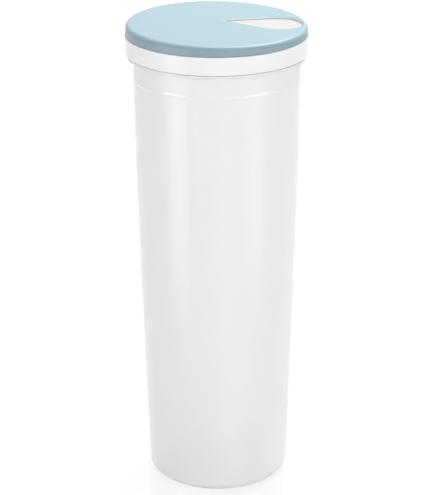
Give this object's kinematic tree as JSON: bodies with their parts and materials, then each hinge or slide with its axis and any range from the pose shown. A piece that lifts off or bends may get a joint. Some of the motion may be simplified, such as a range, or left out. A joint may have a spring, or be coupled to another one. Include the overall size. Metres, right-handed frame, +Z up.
{
  "type": "pasta storage container",
  "caption": "Tall tapered tub for dry pasta with a pull-off cap and a turning dial whose drop-shaped window lines up with a pouring hole.",
  "frame": {"origin": "centre of the foot, on the surface that the container stands on", "axes": "+Z up along the tub's axis, +X towards the dial's window when the lid is closed"},
  "size_m": [0.1074, 0.1074, 0.2856],
  "materials": {
    "frosted_tub": "frosted, see-through polypropylene, satin outside",
    "white_cap": "opaque white polypropylene, soft gloss",
    "clear_seal": "milky silicone rubber, matt",
    "blue_dial": "opaque pale blue polypropylene, satin"
  },
  "bodies": {
    "tub": {"container_tub": "frosted_tub"},
    "cap": {"lid_cap": "white_cap", "lid_seal": "clear_seal"},
    "dial": {"lid_dial": "blue_dial"}
  },
  "joints": [
    {"name": "cap_lift", "type": "slide", "parent": "tub", "child": "cap", "axis": [0, 0, 1], "range_m": [0, 0.12]},
    {"name": "dial_turn", "type": "hinge", "parent": "cap", "child": "dial", "pos_m": [0, 0, 0.281], "axis": [0, 0, 1], "continuous": true}
  ]
}
